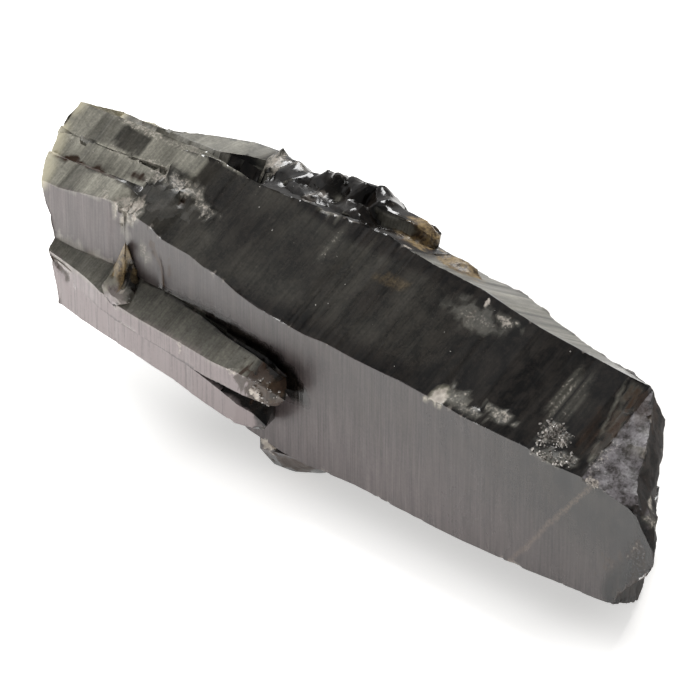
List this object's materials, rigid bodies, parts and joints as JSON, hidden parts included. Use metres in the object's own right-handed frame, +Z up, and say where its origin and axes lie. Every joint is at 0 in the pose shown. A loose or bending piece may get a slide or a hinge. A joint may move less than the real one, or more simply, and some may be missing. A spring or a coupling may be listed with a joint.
{
  "type": "morion quartz cluster",
  "caption": "Stepped six-sided crystal of near-black smoky quartz lying on its side, with smaller crystals grown on it and a broken tip; a mineral specimen for a shelf or desk.",
  "frame": {"origin": "on the flat strip along the long crystal's lowest edge, which the stone rests on", "axes": "+X along the long crystal from its root to its broken tip, +Y from the big front face towards the back, +Z up from what it rests on"},
  "size_m": [0.1147, 0.0392, 0.0349],
  "materials": {
    "morion_quartz": "near-black smoky quartz, glassy faces with fine cross striations"
  },
  "bodies": {
    "root": {"quartz_cluster": "morion_quartz"}
  },
  "joints": []
}
